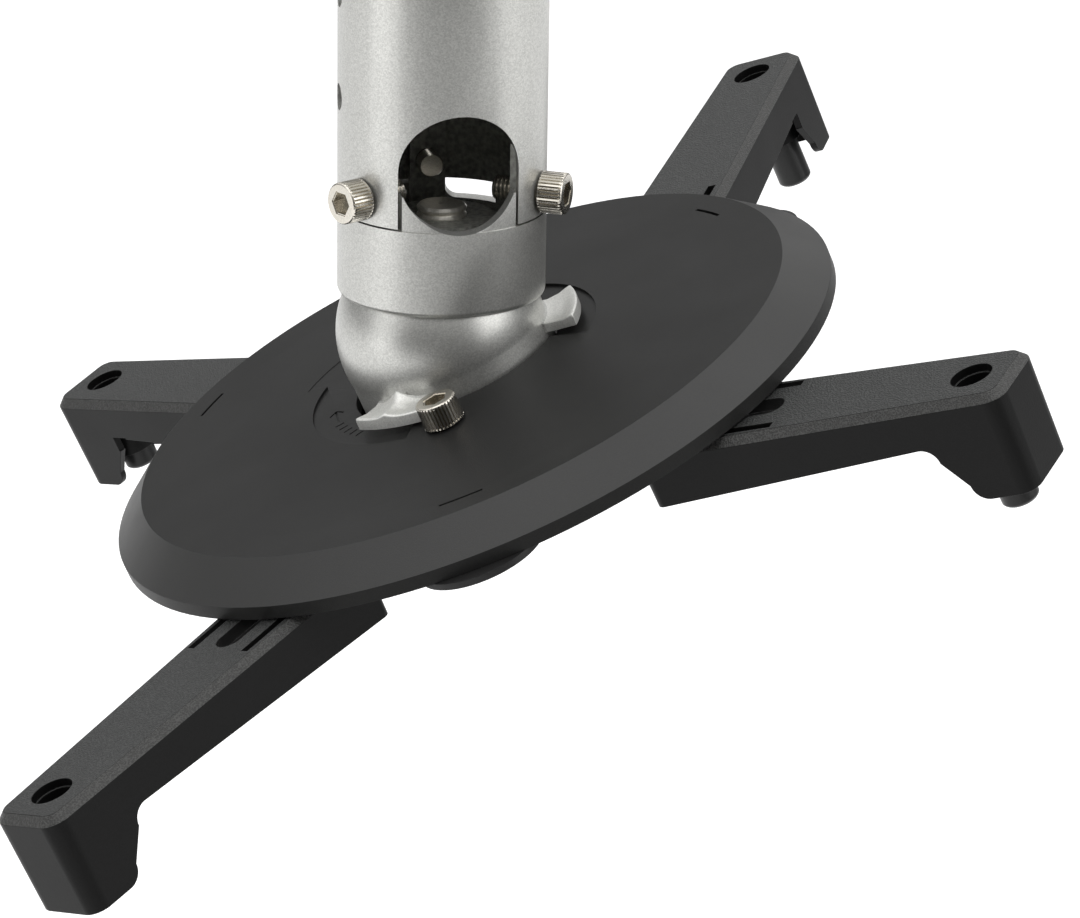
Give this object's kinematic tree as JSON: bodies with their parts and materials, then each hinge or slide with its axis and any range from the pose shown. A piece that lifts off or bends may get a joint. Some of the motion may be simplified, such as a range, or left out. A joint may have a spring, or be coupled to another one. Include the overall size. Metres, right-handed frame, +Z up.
{
  "type": "projector ceiling mount",
  "caption": "Ceiling mount for a projector: telescopic pole, ball joint with a tilted round disc and adjustable hollow arms with spacers.",
  "frame": {"origin": "middle of the ceiling plate's mounting face", "axes": "+Z up along the pole, the window in the lower tube looks towards -Y, the disc leans down towards -X"},
  "size_m": [0.2513, 0.2752, 0.4017],
  "materials": {
    "silver_paint": "fine metallic silver paint",
    "nickel": "nickel plated",
    "bright_steel": "bright zinc",
    "liner_plastic": "natural white",
    "charcoal_paint": "satin charcoal with a fine texture",
    "black_paint": "satin black",
    "arm_paint": "black, textured on top",
    "black_plastic": "black"
  },
  "bodies": {
    "ceiling": {"ceiling_plate": "silver_paint", "ceiling_socket": "silver_paint", "upper_tube": "silver_paint", "socket_screw_right": "nickel", "socket_screw_left": "nickel"},
    "pole": {"lower_tube": "silver_paint", "height_bolt_lower": "nickel", "height_bolt_upper": "nickel", "nut_plate": "bright_steel", "tube_screw_right": "nickel", "tube_screw_back": "nickel", "tube_screw_left": "nickel", "ball_cup": "silver_paint", "clamp_bolt": "bright_steel", "spring_washer": "bright_steel"},
    "ball_swivel_body": {"dome_washer": "bright_steel"},
    "ball_tilt_body": {"ball_liner": "liner_plastic"},
    "disc": {"ball_foot": "silver_paint", "lock_screw": "nickel", "disc_cover": "charcoal_paint", "base_plate": "black_paint", "cover_screw_1": "bright_steel", "cover_screw_2": "bright_steel", "cover_screw_3": "bright_steel", "clamp_screw_front": "bright_steel", "clamp_screw_left": "bright_steel", "clamp_screw_back": "bright_steel", "clamp_screw_right": "bright_steel"},
    "front_shoe_body": {"shoe_front": "black_paint"},
    "front_arm_body": {"arm_front": "arm_paint"},
    "front_spacer_body": {"spacer_front": "black_plastic"},
    "left_shoe_body": {"shoe_left": "black_paint"},
    "left_arm_body": {"arm_left": "arm_paint"},
    "left_spacer_body": {"spacer_left": "black_plastic"},
    "back_shoe_body": {"shoe_back": "black_paint"},
    "back_arm_body": {"arm_back": "arm_paint"},
    "back_spacer_body": {"spacer_back": "black_plastic"},
    "right_shoe_body": {"shoe_right": "black_paint"},
    "right_arm_body": {"arm_right": "arm_paint"},
    "right_spacer_body": {"spacer_right": "black_plastic"}
  },
  "joints": [
    {"name": "height_slide", "type": "slide", "parent": "ceiling", "child": "pole", "axis": [0, 0, 1], "range_m": [-0.025, 0.048]},
    {"name": "ball_swivel", "type": "hinge", "parent": "pole", "child": "ball_swivel_body", "pos_m": [0, 0, -0.3009], "axis": [0, 0, 1], "continuous": true},
    {"name": "ball_tilt", "type": "hinge", "parent": "ball_swivel_body", "child": "ball_tilt_body", "pos_m": [0, 0, -0.3009], "axis": [0, 1, 0], "range_deg": [-0.9, 48.1]},
    {"name": "ball_spin", "type": "hinge", "parent": "ball_tilt_body", "child": "disc", "pos_m": [0, 0, -0.3009], "axis": [-0.4003, 0, 0.9164], "continuous": true},
    {"name": "front_swing", "type": "hinge", "parent": "disc", "child": "front_shoe_body", "pos_m": [-0.04461, -0.05138, -0.34538], "axis": [-0.4003, 0, 0.9164], "range_deg": [-35, 35]},
    {"name": "front_reach", "type": "slide", "parent": "front_shoe_body", "child": "front_arm_body", "axis": [-0.7432, -0.585, -0.3247], "range_m": [-0.0208, 0.0042]},
    {"name": "front_spacer_height", "type": "slide", "parent": "front_arm_body", "child": "front_spacer_body", "axis": [-0.4003, 0, 0.9164], "range_m": [-0.008, 0.006]},
    {"name": "left_swing", "type": "hinge", "parent": "disc", "child": "left_shoe_body", "pos_m": [-0.02194, 0.07022, -0.33548], "axis": [-0.4003, 0, 0.9164], "range_deg": [-35, 18]},
    {"name": "left_reach", "type": "slide", "parent": "left_shoe_body", "child": "left_arm_body", "axis": [-0.5334, 0.8131, -0.2331], "range_m": [-0.0173, 0.0062]},
    {"name": "left_spacer_height", "type": "slide", "parent": "left_arm_body", "child": "left_spacer_body", "axis": [-0.4003, 0, 0.9164], "range_m": [-0.008, 0.006]},
    {"name": "back_swing", "type": "hinge", "parent": "disc", "child": "back_shoe_body", "pos_m": [0.0627, 0.05168, -0.2985], "axis": [-0.4003, 0, 0.9164], "range_deg": [-35, 24]},
    {"name": "back_reach", "type": "slide", "parent": "back_shoe_body", "child": "back_arm_body", "axis": [0.4761, 0.8545, 0.208], "range_m": [-0.0233, 0.0004]},
    {"name": "back_spacer_height", "type": "slide", "parent": "back_arm_body", "child": "back_spacer_body", "axis": [-0.4003, 0, 0.9164], "range_m": [-0.0005, 0.0135]},
    {"name": "right_swing", "type": "hinge", "parent": "disc", "child": "right_shoe_body", "pos_m": [0.04893, -0.06482, -0.30451], "axis": [-0.4003, 0, 0.9164], "range_deg": [-35, 35]},
    {"name": "right_reach", "type": "slide", "parent": "right_shoe_body", "child": "right_arm_body", "axis": [0.7061, -0.6374, 0.3085], "range_m": [-0.0175, 0.004]},
    {"name": "right_spacer_height", "type": "slide", "parent": "right_arm_body", "child": "right_spacer_body", "axis": [-0.4003, 0, 0.9164], "range_m": [-0.0005, 0.0135]}
  ]
}
